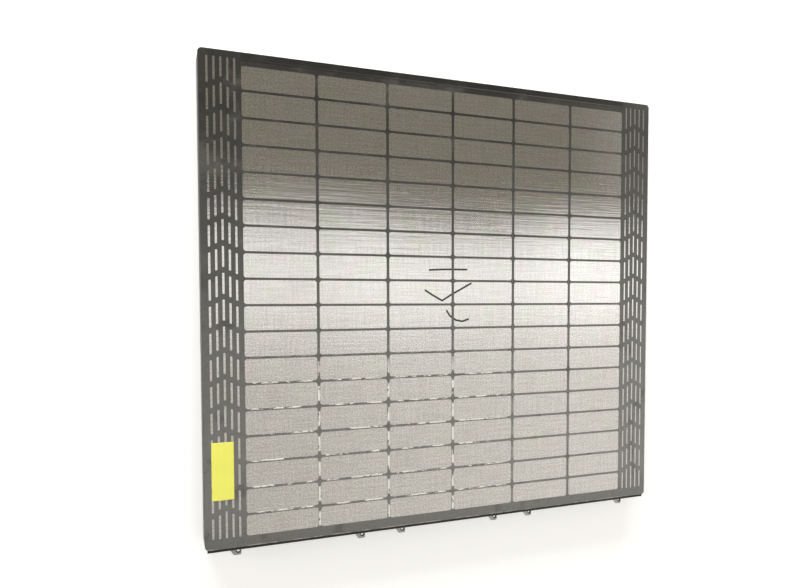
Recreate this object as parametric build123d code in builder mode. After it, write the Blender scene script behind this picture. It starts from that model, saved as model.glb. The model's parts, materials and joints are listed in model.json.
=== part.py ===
from build123d import *
import os

# Flat pretensioned shaker screen with a moulded grid frame, lying with its wire cloth up.
# X runs across the flow, Y along it from the discharge end (-Y) to the feed end (+Y), and Z up.
# The origin is the middle of the frame's underside. All sizes are in millimetres.

# Outline of the panel
panel_width = 660.0
panel_length = 610.0
frame_depth = 38.5
corner_radius = 5.0

# Borders around the field of cells, and the bars between the cells
side_band = 50.0
feed_border = 16.4
discharge_border = 13.5
column_count = 6
column_bar = 3.5
row_pitch = 32.7
row_bar = 3.0
first_cell_length = 28.2
shortest_cell_length = 20.0
cell_draft = 0.8

# Slotted side bands, whose cross ribs are chevrons with their point towards the feed end
side_wall = 6.0
field_wall = 4.0
slot_columns = 5
slot_width = 3.0
slot_land = 7.1
slot_margin = 8.4
chevron_rise = 10.4
chevron_rib = 3.4
band_skin = 5.0

# Hollow end borders
end_wall = 4.0
border_skin = 5.0

# Layers of wire cloth, and the plastic that is fused through and over them
backing_thickness = 0.5
middle_thickness = 0.3
top_thickness = 0.2
cloth_margin = 5.0
grid_cover = 0.5
grid_edge_chamfer = 0.4
foot_chamfer = 1.2

# Raised lip along the feed end, between the side bands
lip_width = 8.8
lip_height = 0.6
lip_chamfer = 0.4

# Pressed steel lugs on the discharge end, placed by their locating holes
lug_width = 16.0
lug_reach = 13.0
lug_thickness = 2.5
lug_leg = 19.0
lug_drop = 11.0
lug_bend_radius = 2.5
lug_shoulder = 6.5
lug_tip_chamfer = 1.3
lug_hole_radius = 2.0
lug_hole_reach = 7.5
lug_hole_from_edge = 3.8
inner_lug = 70.9
middle_lug = 128.2
outer_lug_inset = 40.3

# Rubber seal along the discharge end, above the lugs
seal_inset = 3.0
seal_drop = 2.2
seal_height = 4.4
seal_reach = 4.0
seal_nose_radius = 2.0

# Paper label stuck over the slots of one side band
label_width = 26.4
label_length = 72.0
label_thickness = 0.2
label_from_side = 9.0
label_from_discharge = 61.5

# Places worked out from the sizes
side_edge = panel_width / 2
feed_edge = panel_length / 2
discharge_edge = -panel_length / 2
field_width = panel_width - 2 * side_band
cell_width = (field_width - (column_count - 1) * column_bar) / column_count
column_pitch = cell_width + column_bar
field_top = feed_edge - feed_border
field_bottom = discharge_edge + discharge_border
first_row_bar = field_top - first_cell_length - row_bar / 2
room_for_rows = first_row_bar - field_bottom - row_bar / 2 - shortest_cell_length
row_bar_count = int(room_for_rows // row_pitch) + 1
row_bars = [first_row_bar - row_pitch * k for k in range(row_bar_count)]
cell_length = row_pitch - row_bar
last_cell_length = row_bars[-1] - row_bar / 2 - field_bottom

pocket_width = side_band - side_wall - field_wall
pocket_middle = -side_edge + side_wall + pocket_width / 2
slot_pitch = pocket_width / slot_columns
slot_top = feed_edge - slot_margin

cloth_width = panel_width - 2 * cloth_margin
cloth_length = panel_length - 2 * cloth_margin
cloth_thickness = backing_thickness + middle_thickness + top_thickness
grid_thickness = cloth_thickness + grid_cover
grid_top = frame_depth + grid_thickness
lug_top = grid_top - lug_drop
lug_positions = [
    -(side_edge - outer_lug_inset), -middle_lug, -inner_lug,
    inner_lug, middle_lug, side_edge - outer_lug_inset,
]


def chevron_height(x):
    """How far the chevron stands towards the feed end of its row line, at x in the left band."""
    return chevron_rise * (1 - abs(x - pocket_middle) / (pocket_width / 2))


def band_bays(stations, top, bottom, land):
    """Outlines of the left band's bays, one between each two chevrons, with corners at these x."""
    for row in range(len(row_bars) + 1):
        upper = [top] * len(stations)
        lower = [bottom] * len(stations)
        if row > 0:
            upper = [row_bars[row - 1] + chevron_height(x) - land / 2 for x in stations]
        if row < len(row_bars):
            lower = [row_bars[row] + chevron_height(x) + land / 2 for x in stations]
        corners = list(zip(stations, lower)) + list(zip(reversed(stations), reversed(upper)))
        yield Polygon(*corners, align=None, mode=Mode.PRIVATE)


def finish(part, name):
    part.label = name
    export_step(part, f"parts/{name}.step")


os.makedirs("parts", exist_ok=True)

# Openings of the cells between the ribs
with BuildSketch() as cell_openings:
    with Locations((0, (row_bars[0] + row_bars[-1]) / 2)):
        with GridLocations(column_pitch, row_pitch, column_count, row_bar_count - 1):
            Rectangle(cell_width, cell_length)
    with Locations((0, field_top - first_cell_length / 2)):
        with GridLocations(column_pitch, 1, column_count, 1):
            Rectangle(cell_width, first_cell_length)
    with Locations((0, field_bottom + last_cell_length / 2)):
        with GridLocations(column_pitch, 1, column_count, 1):
            Rectangle(cell_width, last_cell_length)

# Slots of both side bands: straight sides, and ends that follow the chevrons
with BuildSketch() as band_slots:
    for column in range(slot_columns):
        middle = pocket_middle + (column - (slot_columns - 1) / 2) * slot_pitch
        slot_sides = [middle - slot_width / 2, middle + slot_width / 2]
        add(list(band_bays(slot_sides, slot_top, field_bottom, slot_land)))
    mirror(about=Plane.YZ)

# Pockets under the skin of both side bands, open to the underside
with BuildSketch() as band_pockets:
    chevron_points = [pocket_middle + side * pocket_width / 2 for side in (-1, 0, 1)]
    pocket_top = feed_edge - end_wall
    pocket_bottom = discharge_edge + end_wall
    add(list(band_bays(chevron_points, pocket_top, pocket_bottom, chevron_rib)))
    mirror(about=Plane.YZ)

# Pockets in the two end borders, one under the end of each column of cells
feed_pocket = feed_border - end_wall - field_wall
discharge_pocket = discharge_border - end_wall - field_wall
with BuildSketch() as border_pockets:
    with Locations((0, feed_edge - end_wall - feed_pocket / 2)):
        with GridLocations(column_pitch, 1, column_count, 1):
            Rectangle(cell_width, feed_pocket)
    with Locations((0, discharge_edge + end_wall + discharge_pocket / 2)):
        with GridLocations(column_pitch, 1, column_count, 1):
            Rectangle(cell_width, discharge_pocket)

# Moulded frame: deep tapered ribs round every cell, slotted side bands and hollow end borders
with BuildPart() as frame_moulding:
    with BuildSketch():
        RectangleRounded(panel_width, panel_length, corner_radius)
    extrude(amount=frame_depth)
    chamfer(frame_moulding.faces().sort_by(Axis.Z)[0].edges(), foot_chamfer)
    with BuildSketch(Plane.XY.offset(frame_depth)):
        add(cell_openings.sketch)
    extrude(amount=-frame_depth, taper=-cell_draft, mode=Mode.SUBTRACT)
    with BuildSketch():
        add(band_pockets.sketch)
    extrude(amount=frame_depth - band_skin, mode=Mode.SUBTRACT)
    with BuildSketch():
        add(border_pockets.sketch)
    extrude(amount=frame_depth - border_skin, mode=Mode.SUBTRACT)
    with BuildSketch(Plane.XY.offset(frame_depth)):
        add(band_slots.sketch)
    extrude(amount=-band_skin, mode=Mode.SUBTRACT)
finish(frame_moulding.part, "frame_moulding")

# Plastic fused through the cloth: a rim round its edge, and thin bars over it on every rib
with BuildPart() as fused_grid:
    with BuildSketch(Plane.XY.offset(frame_depth)):
        RectangleRounded(panel_width, panel_length, corner_radius)
    extrude(amount=grid_thickness)
    chamfer(fused_grid.faces().sort_by(Axis.Z)[-1].edges(), grid_edge_chamfer)
    with BuildSketch(Plane.XY.offset(frame_depth)):
        Rectangle(cloth_width, cloth_length)
    extrude(amount=cloth_thickness, mode=Mode.SUBTRACT)
    with BuildSketch(Plane.XY.offset(grid_top)):
        with Locations((0, feed_edge - grid_edge_chamfer)):
            Rectangle(field_width, lip_width, align=(Align.CENTER, Align.MAX))
    extrude(amount=lip_height)
    chamfer(fused_grid.faces().sort_by(Axis.Z)[-1].edges(), lip_chamfer)
    with BuildSketch(Plane.XY.offset(grid_top)):
        add(cell_openings.sketch)
        add(band_slots.sketch)
    extrude(amount=-grid_cover, mode=Mode.SUBTRACT)
finish(fused_grid.part, "fused_grid")

# Three layers of wire cloth in the rim, the coarsest on the ribs
cloth_layers = {
    "backing_cloth": (0, backing_thickness),
    "middle_cloth": (backing_thickness, middle_thickness),
    "top_cloth": (backing_thickness + middle_thickness, top_thickness),
}
for name, (height, thickness) in cloth_layers.items():
    with BuildPart() as cloth:
        with BuildSketch(Plane.XY.offset(frame_depth + height)):
            Rectangle(cloth_width, cloth_length)
        extrude(amount=thickness)
    finish(cloth.part, name)

# Paper label over the slots of one side band
with BuildPart() as label:
    with BuildSketch(Plane.XY.offset(grid_top)):
        with Locations((-side_edge + label_from_side, discharge_edge + label_from_discharge)):
            Rectangle(label_width, label_length, align=(Align.MIN, Align.MIN))
    extrude(amount=label_thickness)
finish(label.part, "label")

# Rubber seal against the next panel, with a rounded nose
with BuildPart() as edge_seal:
    with BuildSketch(Plane.YZ) as seal_profile:
        with Locations((discharge_edge, grid_top - seal_drop)):
            Rectangle(seal_reach, seal_height, align=Align.MAX)
        fillet(seal_profile.vertices().group_by(Axis.X)[0], seal_nose_radius)
    extrude(amount=side_edge - seal_inset, both=True)
finish(edge_seal.part, "edge_seal")

# Locating lug: a leg against the discharge end, and a pierced tongue with one slanted shoulder
lug_profile = [
    (0, lug_top),
    (0, lug_top - lug_leg),
    (-lug_thickness, lug_top - lug_leg),
    (-lug_thickness, lug_top - lug_thickness),
    (-lug_reach, lug_top - lug_thickness),
    (-lug_reach, lug_top),
]
lug_left = lug_hole_from_edge - lug_width
lug_outline = [
    (lug_left, 0),
    (lug_left, -lug_thickness),
    (lug_left + lug_shoulder, -lug_reach),
    (lug_hole_from_edge, -lug_reach),
    (lug_hole_from_edge, 0),
]
with BuildPart() as lug:
    with BuildSketch(Plane.YZ.offset(lug_left)) as bend:
        Polygon(*lug_profile, align=None)
        fillet(bend.vertices().sort_by_distance((0, lug_top))[0], lug_bend_radius)
    extrude(amount=lug_width)
    with BuildSketch() as tongue:
        Polygon(*lug_outline, align=None)
        chamfer(tongue.vertices().group_by(Axis.Y)[0], lug_tip_chamfer)
    extrude(amount=lug_top, mode=Mode.INTERSECT)
    with Locations((0, -lug_hole_reach, lug_top)):
        Hole(lug_hole_radius, depth=lug_thickness)
for number, x in enumerate(lug_positions, 1):
    finish(Pos(x, discharge_edge, 0) * lug.part, f"locating_lug_{number}")
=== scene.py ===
import json
import math

import bmesh
import bpy
from bpy.props import FloatProperty, FloatVectorProperty, IntProperty, PointerProperty
from mathutils import Matrix, Vector


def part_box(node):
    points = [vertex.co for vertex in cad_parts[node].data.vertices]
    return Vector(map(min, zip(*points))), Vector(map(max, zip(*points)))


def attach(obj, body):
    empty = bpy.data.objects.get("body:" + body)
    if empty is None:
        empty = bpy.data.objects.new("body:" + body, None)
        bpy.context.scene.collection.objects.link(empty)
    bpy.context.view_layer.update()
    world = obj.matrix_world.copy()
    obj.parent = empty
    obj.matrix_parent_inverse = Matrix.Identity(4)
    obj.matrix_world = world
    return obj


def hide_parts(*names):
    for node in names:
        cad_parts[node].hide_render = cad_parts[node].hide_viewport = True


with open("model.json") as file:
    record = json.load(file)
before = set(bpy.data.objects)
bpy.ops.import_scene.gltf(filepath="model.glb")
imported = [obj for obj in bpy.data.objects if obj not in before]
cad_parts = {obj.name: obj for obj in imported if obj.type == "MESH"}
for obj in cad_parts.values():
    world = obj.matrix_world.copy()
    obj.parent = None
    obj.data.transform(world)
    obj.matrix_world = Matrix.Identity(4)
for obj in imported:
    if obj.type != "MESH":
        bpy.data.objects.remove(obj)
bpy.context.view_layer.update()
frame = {"nodes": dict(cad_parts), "record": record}

bl_info = {
    "name": "Shaker screen",
    "version": (1, 0, 0),
    "blender": (4, 5, 0),
    "location": "3D View > Sidebar > Screen",
    "description": "Finishes a moulded shaker screen panel and sets it in a plain studio",
    "category": "Object",
}

# The panel lies flat: X runs across it, Y up the photograph, Z out of the wire cloth. Metres.
MM = 0.001
FRAME_LOW, FRAME_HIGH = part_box("frame_moulding")
GRID_LOW, GRID_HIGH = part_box("fused_grid")
CLOTH_LOW, CLOTH_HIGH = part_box("top_cloth")
LABEL_LOW, LABEL_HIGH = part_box("label")
LUG_NODES = sorted(name for name in frame["nodes"] if name.startswith("locating_lug"))
CLOTH_NODES = ("backing_cloth", "middle_cloth", "top_cloth")


class ScreenSizes(bpy.types.PropertyGroup):
    """Sizes of the fused grid, which follow the moulding under it."""

    column_count: IntProperty(name="Columns", description="Columns of windows", default=6, min=1)
    row_count: IntProperty(name="Rows", description="Rows of windows", default=18, min=3)
    side_band: FloatProperty(
        name="Side band", description="Width of a slotted band", default=0.05, unit="LENGTH"
    )
    feed_border: FloatProperty(
        name="Feed border", description="Border past the first row", default=0.0164, unit="LENGTH"
    )
    discharge_border: FloatProperty(
        name="Discharge border", description="Border past the last row", default=0.0135, unit="LENGTH"
    )
    column_bar: FloatProperty(
        name="Column bar", description="Width of a bar along the flow", default=0.0035, unit="LENGTH"
    )
    row_bar: FloatProperty(
        name="Row bar", description="Width of a bar across the flow", default=0.003, unit="LENGTH"
    )
    row_pitch: FloatProperty(
        name="Row pitch", description="Distance between row bars", default=0.0327, unit="LENGTH"
    )
    first_row: FloatProperty(
        name="First row", description="Clear length of the first row", default=0.0282, unit="LENGTH"
    )
    window_radius: FloatProperty(
        name="Window corner", description="Radius in the windows' corners", default=0.0031, unit="LENGTH"
    )
    slot_width: FloatProperty(
        name="Slot width", description="Width of a slot in the bands", default=0.0026, unit="LENGTH"
    )
    slot_pitch: FloatProperty(
        name="Slot pitch", description="Distance between slot columns", default=0.008, unit="LENGTH"
    )
    slot_first: FloatProperty(
        name="First slot", description="Middle of the outer slot from the side", default=0.01,
        unit="LENGTH",
    )
    slot_land: FloatProperty(
        name="Slot land", description="Plastic between two slots of a column", default=0.0071,
        unit="LENGTH",
    )
    slot_margin: FloatProperty(
        name="Slot margin", description="Plastic past the slots at the feed end", default=0.0084,
        unit="LENGTH",
    )
    chevron_rise: FloatProperty(
        name="Chevron rise", description="Height of the bands' chevrons", default=0.0104, unit="LENGTH"
    )
    slot_radius: FloatProperty(
        name="Slot corner", description="Radius in the slots' corners", default=0.0009, unit="LENGTH"
    )
    rim_inset: FloatProperty(
        name="Rim inset", description="Moulding that shows round the grid", default=0.0004,
        unit="LENGTH",
    )
    melt_radius: FloatProperty(
        name="Melted edge", description="Rounding of the melted edges", default=0.00022, unit="LENGTH"
    )
    lip_width: FloatProperty(
        name="Lip width", description="Raised lip at the feed end", default=0.0088, unit="LENGTH"
    )
    rivet_radius: FloatProperty(
        name="Rivet head", description="Radius of a lug's rivet heads", default=0.0028, unit="LENGTH"
    )
    rivet_height: FloatProperty(
        name="Rivet height", description="Height of a rivet head", default=0.0014, unit="LENGTH"
    )
    pen_width: FloatProperty(
        name="Pen width", description="Width of the inspector's marks", default=0.0022, unit="LENGTH"
    )


class ScreenColours(bpy.types.PropertyGroup):
    """Finishes of the panel's plastics, metals and label."""

    moulding: FloatVectorProperty(
        name="Moulding", description="Glass-filled plastic of the frame", subtype="COLOR", size=4,
        default=(0.026, 0.023, 0.019, 1),
    )
    grid: FloatVectorProperty(
        name="Grid", description="Plastic fused through the cloth", subtype="COLOR", size=4,
        default=(0.02, 0.0195, 0.0175, 1),
    )
    # Painted light as well as dust: the fused grid blends towards this colour to paint its plastic lighter towards the
    # discharge end.
    grid_dusty_lit: FloatVectorProperty(
        name="Dusty grid", description="The same plastic under dust", subtype="COLOR", size=4,
        default=(0.112, 0.112, 0.107, 1),
    )
    fine_wire: FloatVectorProperty(
        name="Fine wire", description="Stainless wire of the upper layers", subtype="COLOR", size=4,
        default=(0.64, 0.638, 0.63, 1),
    )
    coarse_wire: FloatVectorProperty(
        name="Coarse wire", description="Stainless wire of the backing", subtype="COLOR", size=4,
        default=(0.42, 0.41, 0.385, 1),
    )
    rubber: FloatVectorProperty(
        name="Rubber", description="Seal of the discharge end", subtype="COLOR", size=4,
        default=(0.012, 0.012, 0.012, 1),
    )
    # Painted highlight: the pale broken line along the discharge end's arris.
    edge_highlight: FloatVectorProperty(
        name="Lit edge", description="Plastic rubbed pale along its edges", subtype="COLOR", size=4,
        default=(0.37, 0.34, 0.29, 1),
    )
    zinc: FloatVectorProperty(
        name="Zinc", description="Plated steel of the lugs", subtype="COLOR", size=4,
        default=(0.40, 0.395, 0.385, 1),
    )
    paper: FloatVectorProperty(
        name="Paper", description="Face of the label", subtype="COLOR", size=4,
        default=(0.98, 0.97, 0.17, 1),
    )
    floor: FloatVectorProperty(
        name="Floor", description="Pale studio floor", subtype="COLOR", size=4,
        default=(0.93, 0.93, 0.93, 1),
    )


def sizes():
    return bpy.context.scene.screen_sizes


def colours():
    return bpy.context.scene.screen_colours


# ---- Small helpers for node trees ----


class Nodes:
    """Adds nodes to a tree and links what is given to their inputs."""

    def __init__(self, tree):
        self.tree = tree

    def add(self, kind, inputs=None, **settings):
        node = self.tree.nodes.new(kind)
        for name, value in settings.items():
            setattr(node, name, value)
        for key, value in (inputs or {}).items():
            self.put(node.inputs[key], value)
        return node

    def put(self, socket, value):
        if isinstance(value, bpy.types.Node):
            value = next(output for output in value.outputs if output.enabled)
        if isinstance(value, bpy.types.NodeSocket):
            self.tree.links.new(value, socket)
        else:
            socket.default_value = value

    def maths(self, operation, *values, clamp=False):
        node = self.add("ShaderNodeMath", operation=operation, use_clamp=clamp)
        for socket, value in zip(node.inputs, values):
            self.put(socket, value)
        return node.outputs[0]

    def vector(self, operation, *values):
        node = self.add("ShaderNodeVectorMath", operation=operation)
        for socket, value in zip(node.inputs, values):
            self.put(socket, value)
        return node.outputs[1 if operation in ("LENGTH", "DOT_PRODUCT", "DISTANCE") else 0]

    def ramp(self, value, low, high, start=0.0, end=1.0):
        """Smoothly from start to end as value goes from low to high."""
        limits = {"Value": value, "From Min": low, "From Max": high, "To Min": start, "To Max": end}
        node = self.add("ShaderNodeMapRange", limits, interpolation_type="SMOOTHSTEP")
        return node.outputs["Result"]

    def noise(self, vector, scale, detail=2.0, roughness=0.5):
        values = {"Vector": vector, "Scale": scale, "Detail": detail, "Roughness": roughness}
        return self.add("ShaderNodeTexNoise", values).outputs["Fac"]

    def stretched(self, vector, scale):
        return self.vector("MULTIPLY", vector, scale)

    def blend(self, factor, first, second, blend_type="MIX"):
        node = self.add("ShaderNodeMix", data_type="RGBA", blend_type=blend_type)
        for socket, value in zip((node.inputs[0], node.inputs[6], node.inputs[7]), (factor, first, second)):
            self.put(socket, value)
        return node.outputs[2]


def new_group(kind, name, inputs, outputs):
    """An empty node group with these sockets, as (tree, Nodes, input node, output node)."""
    tree = bpy.data.node_groups.new(name, kind)
    for direction, sockets in (("INPUT", inputs), ("OUTPUT", outputs)):
        for socket_name, socket_kind, default in sockets:
            socket = tree.interface.new_socket(
                socket_name, in_out=direction, socket_type="NodeSocket" + socket_kind
            )
            if default is not None:
                socket.default_value = default
    nodes = Nodes(tree)
    return tree, nodes, nodes.add("NodeGroupInput"), nodes.add("NodeGroupOutput")


# ---- Effects that several finishes share ----


def build_weave_group():
    """Square wire cloth: its wires, its uneven threads, the glitter of single knots and long waves."""
    tree, nodes, given, made = new_group(
        "ShaderNodeTree", "wire_weave",
        [("Pitch", "Float", 0.0016), ("Thread", "Float", 0.0021), ("Thread Length", "Float", 0.045),
         ("Wave", "Float", 0.0038), ("Wave Length", "Float", 0.13)],
        [("Wires", "Float", None), ("Hatch", "Float", None), ("Threads", "Float", None),
         ("Glitter", "Float", None), ("Waves", "Float", None)],
    )
    place = nodes.add("ShaderNodeTexCoord").outputs["Object"]
    axes = nodes.add("ShaderNodeSeparateXYZ", {"Vector": place})
    turns = [
        nodes.maths("MULTIPLY", nodes.maths("DIVIDE", axis, given.outputs["Pitch"]), math.pi)
        for axis in axes.outputs[:2]
    ]
    waves = [nodes.maths("SINE", turn) for turn in turns]
    ridges = [nodes.maths("ABSOLUTE", wave) for wave in waves]
    over = nodes.maths("MULTIPLY", waves[0], waves[1])
    tops = nodes.maths("MAXIMUM", ridges[0], ridges[1])
    nodes.put(made.inputs["Wires"], nodes.maths("ADD", tops, nodes.maths("MULTIPLY", over, 0.5)))
    nodes.put(made.inputs["Hatch"], nodes.maths("MULTIPLY", ridges[0], ridges[1]))
    thin = nodes.maths("DIVIDE", 1.0, given.outputs["Thread"])
    long = nodes.maths("DIVIDE", 1.0, given.outputs["Thread Length"])
    weft = nodes.add("ShaderNodeCombineXYZ", {"X": long, "Y": thin})
    warp = nodes.add("ShaderNodeCombineXYZ", {"X": thin, "Y": long})
    threads = [
        nodes.noise(nodes.vector("MULTIPLY", place, scale), 1.0, detail=1.5, roughness=0.6)
        for scale in (weft, warp)
    ]
    even = [nodes.maths("MULTIPLY", thread, share) for thread, share in zip(threads, (0.56, 0.44))]
    nodes.put(made.inputs["Threads"], nodes.maths("ADD", *even))
    knots = nodes.maths("DIVIDE", 0.85, given.outputs["Pitch"])
    nodes.put(made.inputs["Glitter"], nodes.noise(place, knots, detail=1.0, roughness=0.7))
    waved = nodes.add("ShaderNodeCombineXYZ", {
        "X": nodes.maths("DIVIDE", 1.0, given.outputs["Wave Length"]),
        "Y": nodes.maths("DIVIDE", 1.0, given.outputs["Wave"]),
    })
    long_waves = nodes.noise(nodes.vector("MULTIPLY", place, waved), 1.0, detail=2.5, roughness=0.65)
    nodes.put(made.inputs["Waves"], long_waves)
    return tree


def build_patch_group():
    """Soft uneven patches of dust or stain, thicker towards the discharge end; the fused grid also uses this slope as
    painted light, lighter towards the discharge end.
    """
    tree, nodes, given, made = new_group(
        "ShaderNodeTree", "settled_dust",
        [("From", "Float", 0.25), ("To", "Float", -0.3), ("Patch Size", "Float", 0.06),
         ("Unevenness", "Float", 0.4)],
        [("Dust", "Float", None)],
    )
    place = nodes.add("ShaderNodeTexCoord").outputs["Object"]
    along = nodes.add("ShaderNodeSeparateXYZ", {"Vector": place}).outputs["Y"]
    slope = nodes.ramp(along, given.outputs["From"], given.outputs["To"])
    scale = nodes.maths("DIVIDE", 1.0, given.outputs["Patch Size"])
    patches = nodes.noise(place, scale, detail=4.0, roughness=0.6)
    swing = nodes.maths("MULTIPLY", nodes.maths("SUBTRACT", patches, 0.5), given.outputs["Unevenness"])
    nodes.put(made.inputs["Dust"], nodes.maths("ADD", slope, swing, clamp=True))
    return tree


def build_grain_group():
    """Fine grain of moulded or plated surfaces, with a few scuffs."""
    tree, nodes, given, made = new_group(
        "ShaderNodeTree", "surface_grain",
        [("Grain Size", "Float", 0.0008), ("Scuff Size", "Float", 0.02)],
        [("Grain", "Float", None), ("Scuffs", "Float", None)],
    )
    place = nodes.add("ShaderNodeTexCoord").outputs["Object"]
    grain_scale = nodes.maths("DIVIDE", 1.0, given.outputs["Grain Size"])
    nodes.put(made.inputs["Grain"], nodes.noise(place, grain_scale, detail=3.0, roughness=0.6))
    scuff_scale = nodes.maths("DIVIDE", 1.0, given.outputs["Scuff Size"])
    coarse = nodes.noise(nodes.stretched(place, (1.0, 1.6, 1.0)), scuff_scale, detail=6.0, roughness=0.75)
    nodes.put(made.inputs["Scuffs"], nodes.ramp(coarse, 0.58, 0.74))
    return tree


def build_stroke_group():
    """One straight pen stroke on the cloth: 1 on the line from Start to End, 0 off it."""
    tree, nodes, given, made = new_group(
        "ShaderNodeTree", "pen_stroke",
        [("Place", "Vector", None), ("Start", "Vector", None), ("End", "Vector", None),
         ("Width", "Float", 0.0019)],
        [("Ink", "Float", None)],
    )
    start = given.outputs["Start"]
    reach = nodes.vector("SUBTRACT", given.outputs["End"], start)
    offset = nodes.vector("SUBTRACT", given.outputs["Place"], start)
    share = nodes.maths(
        "DIVIDE", nodes.vector("DOT_PRODUCT", offset, reach), nodes.vector("DOT_PRODUCT", reach, reach),
        clamp=True,
    )
    scaled = nodes.add("ShaderNodeVectorMath", {0: reach, 3: share}, operation="SCALE").outputs[0]
    gap = nodes.vector("LENGTH", nodes.vector("SUBTRACT", offset, scaled))
    half = nodes.maths("MULTIPLY", given.outputs["Width"], 0.5)
    edge = nodes.maths("MULTIPLY", half, 0.6)
    nodes.put(made.inputs["Ink"], nodes.ramp(gap, nodes.maths("ADD", half, edge), edge))
    return tree


# ---- Finishes ----


def new_material(name, **plain):
    """A material with its Principled BSDF's plain values set, as (material, Nodes, shader)."""
    material = bpy.data.materials.new(name)
    material.use_nodes = True
    nodes = Nodes(material.node_tree)
    shader = material.node_tree.nodes["Principled BSDF"]
    for socket, value in plain.items():
        shader.inputs[socket.replace("_", " ")].default_value = value
    return material, nodes, shader


def effect(nodes, group, **values):
    node = nodes.add("ShaderNodeGroup", node_tree=group)
    for name, value in values.items():
        nodes.put(node.inputs[name.replace("_", " ")], value)
    return node


def bump(nodes, shader, height, distance, strength=1.0, normal=None):
    node = nodes.add("ShaderNodeBump", {"Height": height, "Distance": distance, "Strength": strength})
    if normal is not None:
        nodes.put(node.inputs["Normal"], normal)
    nodes.put(shader.inputs["Normal"], node.outputs["Normal"])
    return node.outputs["Normal"]


# A dash, a tick and a shallow curve, as an inspector leaves them
PEN_MARKS = [
    [(-0.0345, 0.0445), (-0.012, 0.0455), (0.021, 0.0458)],
    [(-0.0405, 0.0165), (-0.029, 0.0095), (-0.016, 0.0025), (-0.001, 0.0115), (0.0125, 0.0185),
     (0.0275, 0.0265)],
    [(-0.009, -0.0115), (-0.0045, -0.0185), (0.0045, -0.0245), (0.0145, -0.0265), (0.0235, -0.0235)],
]


def scaled(colour, *factors):
    """A colour times one factor, or times one factor for each channel."""
    factors = factors * 3 if len(factors) == 1 else factors
    return [channel * factor for channel, factor in zip(colour[:3], factors)] + [1]


def fine_cloth_material(weave, dust, stroke):
    """Bright wire cloth, dulled towards the discharge end, with an inspector's marks."""
    material, nodes, shader = new_material("fine_wire_cloth", Metallic=0.95, Roughness=0.25)
    place = nodes.add("ShaderNodeTexCoord").outputs["Object"]
    cloth = effect(nodes, weave)
    sloped_patches = effect(nodes, dust, From=0.12, To=-0.2, Patch_Size=0.09, Unevenness=0.3)
    base = colours().fine_wire
    rosy = nodes.noise(nodes.stretched(place, (22.0, 30.0, 1.0)), 1.0, detail=3.0)
    olive = nodes.noise(nodes.stretched(place, (31.0, 40.0, 1.0)), 0.8, detail=3.0)
    tint = nodes.blend(nodes.ramp(rosy, 0.44, 0.62), list(base), scaled(base, 1.025, 0.972, 0.98))
    tint = nodes.blend(nodes.ramp(olive, 0.47, 0.67), tint, scaled(base, 0.97, 1.012, 0.94))
    stained = scaled(base, 1.0, 0.965, 0.925)
    tint = nodes.blend(sloped_patches.outputs["Dust"], tint, nodes.blend(0.7, tint, stained))
    threads = nodes.ramp(cloth.outputs["Threads"], 0.3, 0.7, 0.88, 1.08)
    axes = nodes.add("ShaderNodeSeparateXYZ", {"Vector": place})
    off_middle = nodes.maths("ABSOLUTE", nodes.maths("SUBTRACT", axes.outputs["Y"], 0.04))
    rough_knots = nodes.ramp(cloth.outputs["Glitter"], 0.3, 0.7, -0.2, 0.17)
    glitter = nodes.maths("ADD", 1.0, nodes.maths("MULTIPLY", rough_knots, nodes.ramp(off_middle, 0.02, 0.1, 0.5, 1.0)))
    hatch = nodes.ramp(cloth.outputs["Hatch"], 0.0, 1.0, 0.9, 1.06)
    shade = nodes.maths("MULTIPLY", nodes.maths("MULTIPLY", threads, glitter), hatch)
    tint = nodes.blend(1.0, tint, shade, "MULTIPLY")
    ink = 0.0
    for points in PEN_MARKS:
        for start, end in zip(points, points[1:]):
            line = effect(
                nodes, stroke, Place=place, Start=(*start, CLOTH_HIGH.z), End=(*end, CLOTH_HIGH.z),
                Width=sizes().pen_width,
            )
            ink = nodes.maths("MAXIMUM", ink, line.outputs["Ink"])
    nodes.put(shader.inputs["Base Color"], nodes.blend(ink, tint, (0.02, 0.02, 0.022, 1)))
    nodes.put(shader.inputs["Metallic"], nodes.ramp(ink, 0.0, 1.0, 0.95, 0.0))
    rough = nodes.ramp(sloped_patches.outputs["Dust"], 0.0, 1.0, 0.13, 0.33)
    nodes.put(shader.inputs["Roughness"], nodes.maths("MAXIMUM", rough, nodes.maths("MULTIPLY", ink, 0.6)))
    middle = nodes.ramp(nodes.maths("ABSOLUTE", axes.outputs["X"]), 0.2, 0.02)
    upper = nodes.maths("MAXIMUM", nodes.maths("SUBTRACT", axes.outputs["Y"], 0.03), 0.0)
    sag = bump(nodes, shader, nodes.maths("MULTIPLY", middle, upper), -0.0125)
    long_waves = bump(nodes, shader, cloth.outputs["Waves"], 0.00024, 0.42, sag)
    bump(nodes, shader, cloth.outputs["Wires"], 0.00004, 0.35, long_waves)
    return material


def coarse_cloth_material(weave, dust):
    material, nodes, shader = new_material("coarse_wire_cloth", Metallic=0.85, Roughness=0.38)
    cloth = effect(nodes, weave, Pitch=0.0022, Thread=0.004, Wave=0.006)
    sloped_patches = effect(nodes, dust, From=0.3, To=-0.3, Patch_Size=0.05, Unevenness=0.5)
    base = colours().coarse_wire
    tint = nodes.blend(nodes.ramp(cloth.outputs["Hatch"], 0.05, 0.75), scaled(base, 0.35), list(base))
    nodes.put(shader.inputs["Base Color"], tint)
    nodes.put(shader.inputs["Roughness"], nodes.ramp(sloped_patches.outputs["Dust"], 0.0, 1.0, 0.34, 0.5))
    bump(nodes, shader, cloth.outputs["Wires"], 0.0003, 0.6)
    return material


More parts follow.
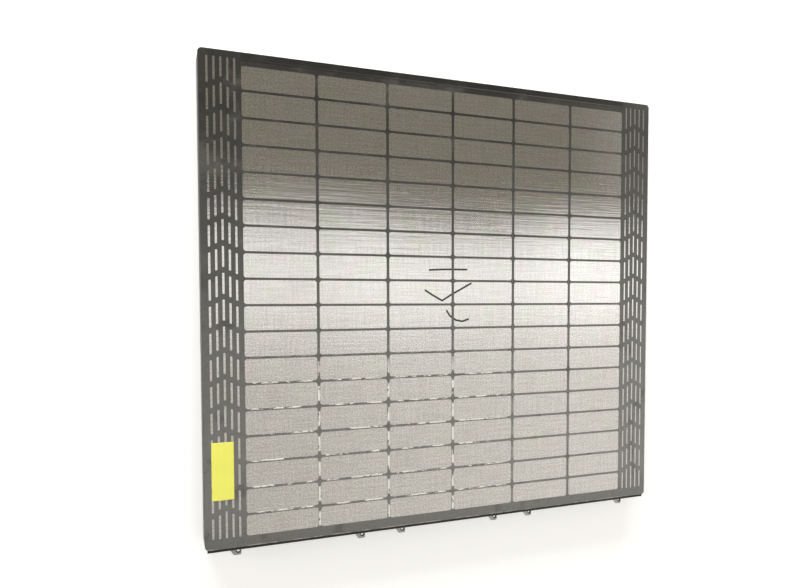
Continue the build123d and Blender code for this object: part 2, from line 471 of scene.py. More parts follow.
def grid_material(weave, dust, grain):
    """Grey plastic with the cloth printed into it and bare wire along abraded bars. Painted light: lighter towards the
    right and the discharge end, painted shade on the feed lip, and painted highlights along the lip's edge and the
    discharge end's arris.
    """
    material, nodes, shader = new_material("fused_plastic", Roughness=0.42)
    place = nodes.add("ShaderNodeTexCoord").outputs["Object"]
    axes = nodes.add("ShaderNodeSeparateXYZ", {"Vector": place})
    cloth = effect(nodes, weave)
    sloped_patches = effect(nodes, dust, From=0.3, To=-0.3, Patch_Size=0.045, Unevenness=0.3)
    surface = effect(nodes, grain, Grain_Size=0.0009, Scuff_Size=0.012)
    # Painted light: the plastic is lighter to the right and, through the dust slope, lighter towards the discharge end.
    # Under dust it is a little darker again right at the discharge end.
    right_light_clean = nodes.ramp(axes.outputs["X"], 0.02, 0.36, 0.95, 3.2)
    right_light_dusty = nodes.ramp(axes.outputs["X"], -0.33, 0.33, 1.62, 2.0)
    darker_at_end = nodes.ramp(axes.outputs["Y"], -0.31, -0.24, 0.8, 1.0)
    clean_lit = nodes.blend(1.0, list(colours().grid), right_light_clean, "MULTIPLY")
    dusty_lit = nodes.blend(1.0, list(colours().grid_dusty_lit), nodes.maths("MULTIPLY", right_light_dusty, darker_at_end), "MULTIPLY")
    tint = nodes.blend(sloped_patches.outputs["Dust"], clean_lit, dusty_lit)
    mottle = nodes.ramp(surface.outputs["Grain"], 0.3, 0.7, 0.8, 1.18)
    tint = nodes.blend(1.0, tint, mottle, "MULTIPLY")
    smears = nodes.noise(nodes.stretched(place, (16.0, 22.0, 16.0)), 1.0, detail=5.0, roughness=0.65)
    chalky = scaled(colours().grid_dusty_lit, 1.5, 1.48, 1.38)
    tint = nodes.blend(nodes.ramp(smears, 0.5, 0.78, 0.0, 0.55), tint, chalky)
    oily = nodes.noise(nodes.stretched(place, (26.0, 18.0, 18.0)), 1.3, detail=4.0, roughness=0.6)
    tint = nodes.blend(nodes.ramp(oily, 0.52, 0.72, 0.0, 0.5), tint, scaled(colours().grid, 1.9, 1.75, 1.35))
    lip_low = FRAME_HIGH.y - sizes().rim_inset - sizes().lip_width
    lip_end = FRAME_HIGH.x - sizes().side_band
    on_lip = nodes.ramp(nodes.maths("ABSOLUTE", axes.outputs["X"]), lip_end + 0.0004, lip_end)
    shaded = nodes.maths("MULTIPLY", nodes.ramp(axes.outputs["Y"], lip_low, lip_low + 0.0015), on_lip)
    tint = nodes.blend(shaded, tint, nodes.blend(1.0, tint, (0.45, 0.45, 0.45, 1), "MULTIPLY"))
    lip_gap = nodes.maths("ABSOLUTE", nodes.maths("SUBTRACT", axes.outputs["Y"], lip_low))
    lip_arris = nodes.maths("MULTIPLY", nodes.ramp(lip_gap, 0.0009, 0.0004), on_lip)
    # Painted highlight along the discharge end's arris, broken into dashes by noise.
    end_arris = nodes.ramp(axes.outputs["Y"], FRAME_LOW.y + 0.0021, FRAME_LOW.y + 0.0014)
    lit = nodes.noise(nodes.stretched(place, (70.0, 260.0, 260.0)), 1.0, detail=4.0, roughness=0.7)
    edge_glint = nodes.maths("MULTIPLY", end_arris, nodes.ramp(lit, 0.46, 0.58))
    edge_glint = nodes.maths("MULTIPLY", edge_glint, nodes.ramp(lit, 0.3, 0.5, 0.5, 1.0))
    tint = nodes.blend(edge_glint, tint, list(colours().edge_highlight))
    lip_shine = nodes.maths("MULTIPLY", lip_arris, nodes.ramp(axes.outputs["X"], -0.3, 0.25, 0.12, 0.75))
    tint = nodes.blend(lip_shine, tint, scaled(colours().grid_dusty_lit, 1.35, 1.42, 1.45))
    bare = bare_wire(nodes, place, axes)
    nodes.put(shader.inputs["Base Color"], nodes.blend(bare, tint, (0.86, 0.85, 0.79, 1)))
    nodes.put(shader.inputs["Metallic"], nodes.maths("MULTIPLY", bare, 0.4))
    nodes.put(shader.inputs["Roughness"], nodes.ramp(surface.outputs["Scuffs"], 0.0, 1.0, 0.42, 0.56))
    fine = bump(nodes, shader, surface.outputs["Grain"], 0.0001, 0.5)
    bump(nodes, shader, cloth.outputs["Wires"], 0.00006, 0.4, fine)
    return material


def bare_wire(nodes, place, axes):
    """Where the plastic has abraded off the bars of the lower left field: 1 on bare wire."""
    size = sizes()
    first_bar = FRAME_HIGH.y - size.feed_border - size.first_row - size.row_bar / 2
    field = FRAME_HIGH.x * 2 - 2 * size.side_band
    from_row = distance_to_line(nodes, axes.outputs["Y"], first_bar, size.row_pitch)
    from_column = distance_to_line(
        nodes, axes.outputs["X"], 0.0, (field + size.column_bar) / size.column_count
    )
    row_gap = nodes.maths("ABSOLUTE", from_row)
    column_gap = nodes.maths("ABSOLUTE", from_column)
    broken = nodes.noise(place, 650.0, detail=3.0, roughness=0.7)
    frayed = nodes.maths("MULTIPLY", nodes.maths("SUBTRACT", broken, 0.5), 0.0022)
    dashes = nodes.noise(nodes.stretched(place, (48.0, 160.0, 1.0)), 1.0, detail=4.0, roughness=0.7)
    upper = nodes.ramp(nodes.maths("ADD", from_row, frayed), -0.0003, 0.0002)
    within = nodes.ramp(row_gap, 0.0018, 0.0014)
    off_crossing = nodes.ramp(column_gap, 0.006, 0.011)
    rows = nodes.maths("MULTIPLY", nodes.maths("MULTIPLY", upper, within), off_crossing)
    rows = nodes.maths("MULTIPLY", rows, nodes.ramp(dashes, 0.49, 0.53))
    patches = nodes.noise(nodes.stretched(place, (160.0, 60.0, 1.0)), 1.0, detail=4.0, roughness=0.7)
    middle = nodes.ramp(nodes.maths("ADD", column_gap, frayed), 0.0017, 0.0012)
    between = nodes.ramp(row_gap, 0.0055, 0.0085)
    bars = nodes.maths("MULTIPLY", nodes.maths("MULTIPLY", middle, between), nodes.ramp(patches, 0.4, 0.46))
    low = nodes.ramp(axes.outputs["Y"], -0.05, -0.11)
    left = nodes.ramp(axes.outputs["X"], 0.105, 0.06)
    inside = nodes.ramp(axes.outputs["X"], -field / 2, -field / 2 + 0.012)
    on_bars = nodes.ramp(axes.outputs["Y"], FRAME_LOW.y + size.discharge_border, FRAME_LOW.y + 0.016)
    zone = nodes.maths("MULTIPLY", nodes.maths("MULTIPLY", low, left), nodes.maths("MULTIPLY", inside, on_bars))
    return nodes.maths("MULTIPLY", nodes.maths("MAXIMUM", rows, bars), zone)


def distance_to_line(nodes, along, first, pitch):
    """Signed distance from the nearest of the lines that start at first and repeat at pitch."""
    turns = nodes.maths("DIVIDE", nodes.maths("SUBTRACT", along, first), pitch)
    part = nodes.maths("FRACT", nodes.maths("ADD", turns, 0.5))
    return nodes.maths("MULTIPLY", nodes.maths("SUBTRACT", part, 0.5), pitch)


def moulding_material(dust, grain):
    material, nodes, shader = new_material("glass_filled_moulding", Roughness=0.5)
    surface = effect(nodes, grain, Grain_Size=0.0012, Scuff_Size=0.03)
    sloped_patches = effect(nodes, dust, From=0.3, To=-0.3, Patch_Size=0.07, Unevenness=0.6)
    base = colours().moulding
    pale = scaled(base, 2.3)
    mix = nodes.maths("MULTIPLY", surface.outputs["Grain"], nodes.ramp(sloped_patches.outputs["Dust"], 0.0, 1.0, 0.4, 1.0))
    tint = nodes.blend(mix, list(base), pale)
    nodes.put(shader.inputs["Base Color"], nodes.blend(surface.outputs["Scuffs"], tint, pale))
    nodes.put(shader.inputs["Roughness"], nodes.ramp(surface.outputs["Grain"], 0.3, 0.7, 0.42, 0.58))
    bump(nodes, shader, surface.outputs["Grain"], 0.00015, 0.5)
    return material


def rubber_material(dust, grain):
    material, nodes, shader = new_material("seal_rubber", Roughness=0.6)
    surface = effect(nodes, grain, Grain_Size=0.0005, Scuff_Size=0.008)
    sloped_patches = effect(nodes, dust, From=0.3, To=-0.6, Patch_Size=0.02, Unevenness=0.8)
    base = colours().rubber
    greyed = nodes.maths("MULTIPLY", sloped_patches.outputs["Dust"], surface.outputs["Grain"])
    tint = nodes.blend(greyed, list(base), scaled(base, 2.6))
    nodes.put(shader.inputs["Base Color"], nodes.blend(surface.outputs["Scuffs"], tint, scaled(base, 3.5)))
    nodes.put(shader.inputs["Roughness"], nodes.ramp(surface.outputs["Grain"], 0.3, 0.7, 0.5, 0.7))
    bump(nodes, shader, surface.outputs["Grain"], 0.0001, 0.4)
    return material


def zinc_material(grain):
    """Plated steel, with painted shade: a black ring round each locating hole."""
    material, nodes, shader = new_material("zinc_plate", Metallic=0.9, Roughness=0.35)
    surface = effect(nodes, grain, Grain_Size=0.0006, Scuff_Size=0.006)
    place = nodes.add("ShaderNodeTexCoord").outputs["Object"]
    # Painted shade: black round the locating holes, where the bores look dark.
    hole_shade = 0.0
    for mount in frame["record"]["mounts"]:
        if mount["kind"] == "bore":
            gap = nodes.vector("DISTANCE", place, tuple(mount["pos_m"]))
            radius = mount["dims"]["r_mm"] * MM
            hole_shade = nodes.maths("MAXIMUM", hole_shade, nodes.ramp(gap, radius * 1.9, radius * 1.35))
    zinc = colours().zinc
    plated = nodes.blend(surface.outputs["Scuffs"], list(zinc), scaled(zinc, 0.55))
    nodes.put(shader.inputs["Base Color"], nodes.blend(hole_shade, plated, (0.012, 0.012, 0.013, 1)))
    nodes.put(shader.inputs["Roughness"], nodes.ramp(surface.outputs["Grain"], 0.3, 0.7, 0.26, 0.45))
    bump(nodes, shader, surface.outputs["Grain"], 0.00006, 0.4)
    return material


def paper_material(grain):
    material, nodes, shader = new_material("label_paper", Roughness=0.55)
    place = nodes.add("ShaderNodeTexCoord").outputs["Object"]
    surface = effect(nodes, grain, Grain_Size=0.0007, Scuff_Size=0.01)
    base = colours().paper
    tint = nodes.blend(nodes.noise(place, 60.0, detail=3.0), list(base), scaled(base, 0.93))
    nodes.put(shader.inputs["Base Color"], tint)
    nodes.put(shader.inputs["Roughness"], nodes.ramp(surface.outputs["Grain"], 0.3, 0.7, 0.48, 0.62))
    bump(nodes, shader, surface.outputs["Grain"], 0.00003, 0.3)
    return material


# ---- Geometry ----


def mesh_object(name, vertices, faces=(), **attributes):
    """An object at the origin; each attribute is a list with one value a vertex."""
    mesh = bpy.data.meshes.new(name)
    mesh.from_pydata(vertices, [], faces)
    for key, values in attributes.items():
        vectors = bool(values) and isinstance(values[0], tuple)
        layer = mesh.attributes.new(key, "FLOAT_VECTOR" if vectors else "FLOAT", "POINT")
        for item, value in zip(layer.data, values):
            setattr(item, "vector" if vectors else "value", value)
    made = bpy.data.objects.new(name, mesh)
    bpy.context.scene.collection.objects.link(made)
    return made


def run_tree(source, tree, **inputs):
    """Runs a node tree on source and returns the result as a plain mesh; source is removed."""
    modifier = source.modifiers.new("shape", "NODES")
    modifier.node_group = tree
    for item in tree.interface.items_tree:
        key = item.name.replace(" ", "_")
        if item.in_out == "INPUT" and key in inputs:
            modifier[item.identifier] = inputs[key]
    graph = bpy.context.evaluated_depsgraph_get()
    mesh = bpy.data.meshes.new_from_object(source.evaluated_get(graph))
    source.modifiers.remove(modifier)
    bpy.data.objects.remove(source)
    return mesh


def finished(name, mesh, body, replaced=()):
    """Puts a finished mesh in the scene as a piece that rides on a CAD body."""
    mesh.name = name
    made = bpy.data.objects.new(name, mesh)
    bpy.context.scene.collection.objects.link(made)
    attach(made, body)
    if replaced:
        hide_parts(*replaced)
    return made


def join_meshes(meshes, material):
    """One mesh out of several that share a material."""
    joined = bmesh.new()
    for mesh in meshes:
        joined.from_mesh(mesh)
    for face in joined.faces:
        face.material_index = 0
    made = bpy.data.meshes.new("joined")
    joined.to_mesh(made)
    joined.free()
    made.materials.append(material)
    return made


def round_edges(mesh, radius):
    """Rounds every sharp edge of a plate, as melted plastic is."""
    work = bmesh.new()
    work.from_mesh(mesh)
    bmesh.ops.remove_doubles(work, verts=work.verts, dist=1e-6)
    bmesh.ops.dissolve_limit(work, angle_limit=0.01, verts=work.verts, edges=work.edges)
    sharp = [edge for edge in work.edges if len(edge.link_faces) == 2 and edge.calc_face_angle() > 0.9]
    bmesh.ops.bevel(work, geom=sharp, offset=radius, segments=2, profile=0.5, affect="EDGES")
    bmesh.ops.triangulate(work, faces=[face for face in work.faces if len(face.verts) > 4])
    bmesh.ops.recalc_face_normals(work, faces=work.faces)
    work.to_mesh(mesh)
    work.free()


def build_plate_tree():
    """A flat plate with an opening round every point of the mesh it runs on."""
    tree, nodes, given, made = new_group(
        "GeometryNodeTree", "pierced_plate",
        [("Geometry", "Geometry", None), ("Middle", "Vector", None), ("Width", "Float", 0.6),
         ("Length", "Float", 0.6), ("Corner Radius", "Float", 0.005), ("Thickness", "Float", 0.0005),
         ("Height", "Float", 0.0), ("Corner Steps", "Int", 4), ("Material", "Material", None)],
        [("Geometry", "Geometry", None)],
    )
    unit = nodes.add("GeometryNodeCurvePrimitiveQuadrilateral", {"Width": 1.0, "Height": 1.0})
    corner = nodes.add("GeometryNodeInputPosition")
    marked = nodes.add(
        "GeometryNodeStoreNamedAttribute", {"Geometry": unit, "Name": "corner", "Value": corner},
        data_type="FLOAT_VECTOR", domain="POINT",
    )
    size = nodes.add("GeometryNodeInputNamedAttribute", {"Name": "opening"}, data_type="FLOAT_VECTOR")
    placed = nodes.add(
        "GeometryNodeInstanceOnPoints",
        {"Points": given.outputs["Geometry"], "Instance": marked, "Scale": size.outputs[0]},
    )
    openings = nodes.add("GeometryNodeRealizeInstances", {"Geometry": placed})
    reach = nodes.add("GeometryNodeInputNamedAttribute", {"Name": "corner"}, data_type="FLOAT_VECTOR")
    lean = nodes.add("GeometryNodeInputNamedAttribute", {"Name": "lean"}, data_type="FLOAT")
    sideways = nodes.add("ShaderNodeSeparateXYZ", {"Vector": reach.outputs[0]}).outputs["X"]
    shift = nodes.add("ShaderNodeCombineXYZ", {"Y": nodes.maths("MULTIPLY", sideways, lean.outputs[0])})
    leaning = nodes.add("GeometryNodeSetPosition", {"Geometry": openings, "Offset": shift})
    radius = nodes.add("GeometryNodeInputNamedAttribute", {"Name": "rounding"}, data_type="FLOAT")
    rounded = nodes.add(
        "GeometryNodeFilletCurve",
        {"Curve": leaning, "Count": given.outputs["Corner Steps"], "Radius": radius.outputs[0],
         "Limit Radius": True},
        mode="POLY",
    )
    outline = nodes.add(
        "GeometryNodeCurvePrimitiveQuadrilateral",
        {"Width": given.outputs["Width"], "Height": given.outputs["Length"]},
    )
    outline = nodes.add(
        "GeometryNodeFilletCurve",
        {"Curve": outline, "Count": 6, "Radius": given.outputs["Corner Radius"], "Limit Radius": True},
        mode="POLY",
    )
    outline = nodes.add(
        "GeometryNodeTransform", {"Geometry": outline, "Translation": given.outputs["Middle"]}
    )
    lines = nodes.add("GeometryNodeJoinGeometry")
    tree.links.new(rounded.outputs[0], lines.inputs[0])
    tree.links.new(outline.outputs[0], lines.inputs[0])
    face = nodes.add("GeometryNodeFillCurve", {"Curve": lines}, mode="TRIANGLES")
    raised = nodes.add(
        "GeometryNodeExtrudeMesh",
        {"Mesh": face, "Offset": (0.0, 0.0, 1.0), "Offset Scale": given.outputs["Thickness"],
         "Individual": False},
        mode="FACES",
    )
    both = nodes.add("GeometryNodeJoinGeometry")
    tree.links.new(nodes.add("GeometryNodeFlipFaces", {"Mesh": face}).outputs[0], both.inputs[0])
    tree.links.new(raised.outputs[0], both.inputs[0])
    welded = nodes.add("GeometryNodeMergeByDistance", {"Geometry": both, "Distance": 1e-6})
    lifted = nodes.add("GeometryNodeTransform", {
        "Geometry": welded,
        "Translation": nodes.add("ShaderNodeCombineXYZ", {"Z": given.outputs["Height"]}),
    })
    solid = nodes.add("GeometryNodeRealizeInstances", {"Geometry": lifted})
    painted = nodes.add(
        "GeometryNodeSetMaterial", {"Geometry": solid, "Material": given.outputs["Material"]}
    )
    tree.links.new(painted.outputs[0], made.inputs["Geometry"])
    return tree


def grid_openings():
    """Middle, size, lean and corner radius of every window and slot of the fused grid."""
    size = sizes()
    half = FRAME_HIGH.x
    top = FRAME_HIGH.y - size.feed_border
    bottom = FRAME_LOW.y + size.discharge_border
    first_bar = top - size.first_row - size.row_bar / 2
    bars = [first_bar - size.row_pitch * row for row in range(size.row_count - 1)]
    field = 2 * (half - size.side_band)
    pitch = (field + size.column_bar) / size.column_count
    window = pitch - size.column_bar
    openings = []
    tops = [top] + [bar - size.row_bar / 2 for bar in bars]
    bottoms = [bar + size.row_bar / 2 for bar in bars] + [bottom]
    for high, low in zip(tops, bottoms):
        for column in range(size.column_count):
            x = -field / 2 + window / 2 + column * pitch
            openings.append(((x, (high + low) / 2), (window, high - low), 0.0, size.window_radius))
    slot_columns = 5
    slope = size.chevron_rise / (slot_columns * size.slot_pitch / 2)
    for column in range(slot_columns):
        steps = column - (slot_columns - 1) / 2
        rise = size.chevron_rise - abs(steps) * size.slot_pitch * slope
        lean = -slope * size.slot_width * (steps > 0) + slope * size.slot_width * (steps < 0)
        x = -half + size.slot_first + column * size.slot_pitch
        slot_top = [FRAME_HIGH.y - size.slot_margin] + [bar + rise - size.slot_land / 2 for bar in bars]
        slot_low = [bar + rise + size.slot_land / 2 for bar in bars] + [bottom]
        for high, low in zip(slot_top, slot_low):
            for side in (1, -1):
                openings.append(
                    ((side * x, (high + low) / 2), (size.slot_width, high - low), side * lean,
                     size.slot_radius)
                )
    return openings


def plate(name, openings, low, high, corner, tree, material, edge):
    """A plate from low to high with these openings, its edges rounded."""
    points = [(*middle, 0.0) for middle, _, _, _ in openings]
    source = mesh_object(
        name, points,
        opening=[(*size, 1.0) for _, size, _, _ in openings],
        lean=[lean for _, _, lean, _ in openings],
        rounding=[radius for _, _, _, radius in openings],
    )
    middle = Vector(((low.x + high.x) / 2, (low.y + high.y) / 2, 0))
    mesh = run_tree(
        source, tree, Middle=middle, Width=high.x - low.x, Length=high.y - low.y,
        Corner_Radius=corner, Thickness=high.z - low.z, Height=low.z, Material=material,
    )
    round_edges(mesh, edge)
    return mesh


# ---- Operators ----


class SCREEN_OT_moulding(bpy.types.Operator):
    """Finishes the moulded frame under the cloth"""

    bl_idname = "screen.moulding"
    bl_label = "Moulding"

    def execute(self, context):
        material = moulding_material(shared("settled_dust"), shared("surface_grain"))
        dress(frame["nodes"]["frame_moulding"], material)
        return {"FINISHED"}


class SCREEN_OT_cloth(bpy.types.Operator):
    """Finishes the three layers of wire cloth"""

    bl_idname = "screen.cloth"
    bl_label = "Wire cloth"

    def execute(self, context):
        fine = fine_cloth_material(shared("wire_weave"), shared("settled_dust"), shared("pen_stroke"))
        coarse = coarse_cloth_material(shared("wire_weave"), shared("settled_dust"))
        for name in CLOTH_NODES:
            dress(frame["nodes"][name], coarse if name == "backing_cloth" else fine)
        return {"FINISHED"}


class SCREEN_OT_grid(bpy.types.Operator):
    """Builds the plastic grid that is fused through the cloth, with its rim and lip"""

    bl_idname = "screen.grid"
    bl_label = "Fused grid"

    def execute(self, context):
        size = sizes()
        material = grid_material(shared("wire_weave"), shared("settled_dust"), shared("surface_grain"))
        tree = build_plate_tree()
        inset = Vector((size.rim_inset, size.rim_inset, 0))
        low = Vector((FRAME_LOW.x, FRAME_LOW.y, CLOTH_HIGH.z)) + inset
        high = Vector((FRAME_HIGH.x, FRAME_HIGH.y, GRID_TOP)) - inset
        cover = plate("cover", grid_openings(), low, high, 0.005, tree, material, size.melt_radius)
        cloth_size = (CLOTH_HIGH.x - CLOTH_LOW.x, CLOTH_HIGH.y - CLOTH_LOW.y)
        rim_low = Vector((low.x, low.y, FRAME_HIGH.z))
        rim_high = Vector((high.x, high.y, CLOTH_HIGH.z))
        rim = plate(
            "rim", [((0.0, 0.0), cloth_size, 0.0, 0.0)], rim_low, rim_high, 0.005, tree, material,
            size.melt_radius / 4,
        )
        lip_high = Vector((FRAME_HIGH.x - size.side_band, high.y - size.melt_radius, GRID_HIGH.z))
        lip_low = Vector((-lip_high.x, high.y - size.lip_width, GRID_TOP))
        lip = plate("lip", [], lip_low, lip_high, 0.0006, tree, material, size.melt_radius)
        finished("grid_skin", join_meshes([cover, rim, lip], material), "root", ["fused_grid"])
        return {"FINISHED"}


class SCREEN_OT_lugs(bpy.types.Operator):
    """Finishes the pressed lugs and sets their rivets"""

    bl_idname = "screen.lugs"
    bl_label = "Lugs and rivets"

    def execute(self, context):
        material = zinc_material(shared("surface_grain"))
        for name in LUG_NODES:
            dress(frame["nodes"][name], material)
        points = []
        for name in LUG_NODES:
            low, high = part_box(name)
            leg = FRAME_LOW.y - 2.5 * MM
            for height in (4.5 * MM, 12.0 * MM):
                points.append(((low.x + high.x) / 2, leg, low.z + height))
        source = mesh_object("rivet_points", points)
        mesh = run_tree(
            source, build_rivet_tree(), Radius=sizes().rivet_radius, Height=sizes().rivet_height,
            Material=material,
        )
        finished("lug_rivets", mesh, "root")
        return {"FINISHED"}


def build_rivet_tree():
    """A domed rivet head on every point, facing out of the discharge end."""
    tree, nodes, given, made = new_group(
        "GeometryNodeTree", "rivet_heads",
        [("Geometry", "Geometry", None), ("Radius", "Float", 0.0028), ("Height", "Float", 0.0014),
         ("Material", "Material", None)],
        [("Geometry", "Geometry", None)],
    )
    ball = nodes.add("GeometryNodeMeshUVSphere", {"Segments": 20, "Rings": 12, "Radius": 1.0})
    point = nodes.add("GeometryNodeInputPosition")
    height = nodes.add("ShaderNodeSeparateXYZ", {"Vector": point})
    flat = nodes.add("ShaderNodeCombineXYZ", {
        "X": height.outputs["X"], "Y": height.outputs["Y"],
        "Z": nodes.maths("MAXIMUM", height.outputs["Z"], -0.02),
    })
    dome = nodes.add("GeometryNodeSetPosition", {"Geometry": ball.outputs["Mesh"], "Position": flat})
    scale = nodes.add("ShaderNodeCombineXYZ", {
        "X": given.outputs["Radius"], "Y": given.outputs["Radius"], "Z": given.outputs["Height"],
    })
    placed = nodes.add("GeometryNodeInstanceOnPoints", {
        "Points": given.outputs["Geometry"], "Instance": dome,
        "Rotation": (math.pi / 2, 0.0, 0.0), "Scale": scale,
    })
    real = nodes.add("GeometryNodeRealizeInstances", {"Geometry": placed})
    smooth = nodes.add("GeometryNodeSetShadeSmooth", {"Geometry": real})
    painted = nodes.add(
        "GeometryNodeSetMaterial", {"Geometry": smooth, "Material": given.outputs["Material"]}
    )
    tree.links.new(painted.outputs[0], made.inputs["Geometry"])
    return tree


class SCREEN_OT_seal(bpy.types.Operator):
    """Finishes the rubber seal along the discharge end"""

    bl_idname = "screen.seal"
    bl_label = "Seal"

    def execute(self, context):
        dress(frame["nodes"]["edge_seal"], rubber_material(shared("settled_dust"), shared("surface_grain")))
        return {"FINISHED"}


class SCREEN_OT_label(bpy.types.Operator):
    """Lays a bare paper label over the slots of one band"""

    bl_idname = "screen.label"
    bl_label = "Label"

    def execute(self, context):
        size = sizes()
        across, along = 66, 90
        slots = [FRAME_LOW.x + size.slot_first + size.slot_pitch * column for column in range(5)]
        vertices, faces = [], []
        for row in range(along + 1):
            for column in range(across + 1):
                x = LABEL_LOW.x + (LABEL_HIGH.x - LABEL_LOW.x) * column / across
                y = LABEL_LOW.y + (LABEL_HIGH.y - LABEL_LOW.y) * row / along
                dip = sum(math.exp(-((x - slot) / (0.45 * size.slot_width)) ** 2) for slot in slots)
                ripple = 0.00006 * math.sin(190 * y + 60 * x)
                vertices.append((x, y, GRID_TOP + 0.00016 - 0.00012 * dip + ripple + 0.0001))
        for row in range(along):
            for column in range(across):
                first = row * (across + 1) + column
                faces.append((first, first + 1, first + across + 2, first + across + 1))
        sheet = mesh_object("label_sheet", vertices, faces)
        solid = sheet.modifiers.new("paper", "SOLIDIFY")
        solid.thickness = 0.00012
        solid.offset = -1
        graph = bpy.context.evaluated_depsgraph_get()
        mesh = bpy.data.meshes.new_from_object(sheet.evaluated_get(graph))
        bpy.data.objects.remove(sheet)
        mesh.materials.append(paper_material(shared("surface_grain")))
        mesh.shade_smooth()
        finished("paper_label", mesh, "root", ["label"])
        return {"FINISHED"}


class SCREEN_OT_stage(bpy.types.Operator):
    """Sets the floor, the lights and the camera"""

    bl_idname = "screen.stage"
    bl_label = "Studio"

    def execute(self, context):
        build_floor()
        build_world()
        build_lights()
        build_camera()
        context.scene.view_settings.view_transform = "Standard"
        return {"FINISHED"}


class SCREEN_PT_panel(bpy.types.Panel):
    """Buttons for each piece of the screen, and its sizes and colours."""

    bl_label = "Shaker screen"
    bl_idname = "SCREEN_PT_panel"
    bl_space_type = "VIEW_3D"
    bl_region_type = "UI"
    bl_category = "Screen"

    def draw(self, context):
        for operator in OPERATORS:
            self.layout.operator(operator.bl_idname)
        for group in (context.scene.screen_sizes, context.scene.screen_colours):
            box = self.layout.box()
            for name in group.bl_rna.properties.keys():
                if name not in ("rna_type", "name"):
                    box.prop(group, name)


GRID_TOP = CLOTH_HIGH.z + 0.5 * MM
OPERATORS = (
    SCREEN_OT_moulding,
    SCREEN_OT_cloth,
    SCREEN_OT_grid,
    SCREEN_OT_lugs,
    SCREEN_OT_seal,
    SCREEN_OT_label,
    SCREEN_OT_stage,
)
CLASSES = (ScreenSizes, ScreenColours, *OPERATORS, SCREEN_PT_panel)
GROUP_BUILDERS = {
    "wire_weave": build_weave_group,
    "settled_dust": build_patch_group,
    "surface_grain": build_grain_group,
    "pen_stroke": build_stroke_group,
}


def shared(name):
    """The shared effect of that name, built the first time it is asked for."""
    return bpy.data.node_groups.get(name) or GROUP_BUILDERS[name]()


def dress(node, material):
    """Gives a CAD node its finish in every material slot."""
    for slot in node.material_slots:
        slot.material = material
    if not node.material_slots:
        node.data.materials.append(material)


# ---- Studio ----


def build_floor():
    side = 14.0
    corners = [(-side, -side, 0), (side, -side, 0), (side, side, 0), (-side, side, 0)]
    floor = mesh_object("studio_floor", [(x, y, -0.0004) for x, y, _ in corners], [(0, 1, 2, 3)])
    material, nodes, shader = new_material("studio_floor", Roughness=0.9)
    shader.inputs["Base Color"].default_value = colours().floor
    paths = nodes.add("ShaderNodeLightPath")
    seen = nodes.maths("MAXIMUM", paths.outputs["Is Camera Ray"], paths.outputs["Is Glossy Ray"])
    seen = nodes.maths("MAXIMUM", seen, paths.outputs["Is Transmission Ray"])
    place = nodes.add("ShaderNodeTexCoord").outputs["Object"]
    away = nodes.ramp(nodes.vector("LENGTH", place), 0.6, 2.4, 0.36, 1.0)
    shader.inputs["Emission Color"].default_value = (1, 1, 1, 1)
    nodes.put(shader.inputs["Emission Strength"], nodes.maths("MULTIPLY", seen, away))
    floor.data.materials.append(material)


def build_world():
    """Dim overhead and pale towards the horizon, where the camera and reflections see a backdrop."""
    world = bpy.data.worlds.new("studio")
    bpy.context.scene.world = world
    world.use_nodes = True
    nodes = Nodes(world.node_tree)
    background = world.node_tree.nodes["Background"]
    paths = nodes.add("ShaderNodeLightPath")
    height = nodes.add("ShaderNodeSeparateXYZ", {"Vector": nodes.add("ShaderNodeTexCoord").outputs["Generated"]})
    low = nodes.ramp(height.outputs["Z"], 0.55, 0.3)
    seen = nodes.maths("MAXIMUM", paths.outputs["Is Glossy Ray"], paths.outputs["Is Transmission Ray"])
    seen = nodes.maths("MAXIMUM", nodes.maths("MULTIPLY", seen, low), paths.outputs["Is Camera Ray"])
    nodes.put(background.inputs["Color"], nodes.blend(seen, (0.265, 0.24, 0.19, 1), (1, 1, 1, 1)))
    background.inputs["Strength"].default_value = 1.0


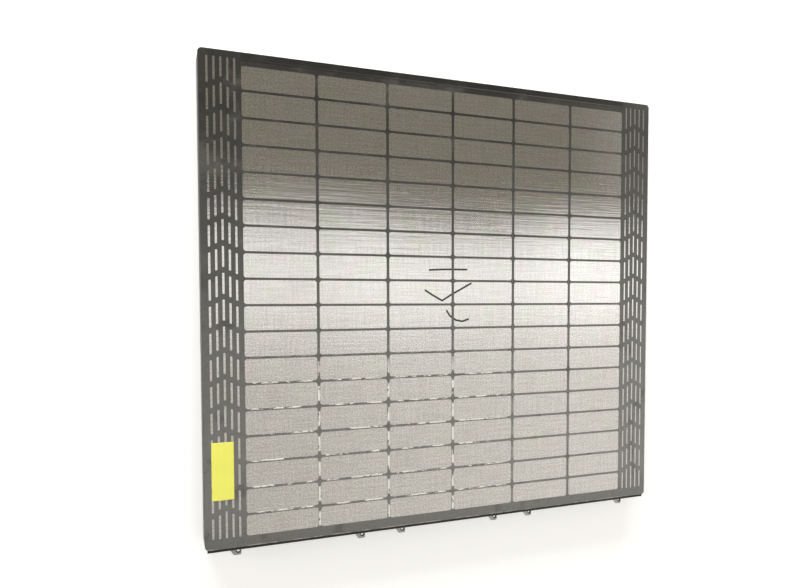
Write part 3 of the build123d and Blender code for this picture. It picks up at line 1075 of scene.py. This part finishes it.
def build_lights():
    for name, place, aim, size, radiance in (
        ("window", (0.7, 0.06, 1.54), (0.7, 0.06, 0), (2.9, 0.52), 0.6),
        ("window_core", (0.7, 0.045, 1.53), (0.7, 0.045, 0), (2.9, 0.31), 0.22),
        ("foot_panel", (0.7, -0.83, 1.54), (0.7, -0.83, 0), (2.9, 1.26), 0.335),
        ("foot_low", (0.7, -1.02, 1.535), (0.7, -1.02, 0), (2.9, 0.88), 0.065),
        ("right_panel", (1.15, -0.57, 1.52), (1.15, -0.57, 0), (1.9, 1.78), 0.12),
        ("right_end", (1.55, -0.57, 1.51), (1.55, -0.57, 0), (1.1, 1.78), 0.2),
        ("right_top", (1.66, 0.64, 1.5), (1.66, 0.64, 0), (0.8, 0.74), 0.1),
        ("side_panel", (-2.2, 0.4, 0.9), (0, 0, 0), (1.2, 1.6), 2.4),
        ("far_panel", (-0.4, 2.6, 1.0), (0, 0, 0), (2.4, 0.9), 10.5),
    ):
        data = bpy.data.lights.new(name, "AREA")
        data.shape = "RECTANGLE"
        data.size, data.size_y = size
        data.energy = 4 * radiance * size[0] * size[1]
        lamp = bpy.data.objects.new(name, data)
        lamp.location = place
        lamp.rotation_euler = (Vector(aim) - Vector(place)).to_track_quat("-Z", "Y").to_euler()
        bpy.context.scene.collection.objects.link(lamp)


def build_camera():
    data = bpy.data.cameras.new("camera")
    data.sensor_width = 36
    data.lens = 36 * 680 / 800
    data.shift_x = -0.0499
    data.shift_y = 0.0425
    data.clip_start = 0.01
    camera = bpy.data.objects.new("camera", data)
    view = Vector((0.3732, -0.0435, -0.9267)).normalized()
    up = Vector((0.0166, 0.9991, -0.0402))
    right = view.cross(up).normalized()
    up = right.cross(view)
    turn = Matrix((right, up, -view)).transposed()
    camera.matrix_world = Matrix.Translation((-0.3695, 0.0056, 0.9092)) @ turn.to_4x4()
    bpy.context.scene.collection.objects.link(camera)
    bpy.context.scene.camera = camera


def register():
    for item in CLASSES:
        bpy.utils.register_class(item)
    bpy.types.Scene.screen_sizes = PointerProperty(type=ScreenSizes)
    bpy.types.Scene.screen_colours = PointerProperty(type=ScreenColours)


def unregister():
    del bpy.types.Scene.screen_colours
    del bpy.types.Scene.screen_sizes
    for item in reversed(CLASSES):
        bpy.utils.unregister_class(item)


def main():
    register()
    for operator in OPERATORS:
        family, name = operator.bl_idname.split(".")
        getattr(getattr(bpy.ops, family), name)()


if __name__ == "__main__":
    main()
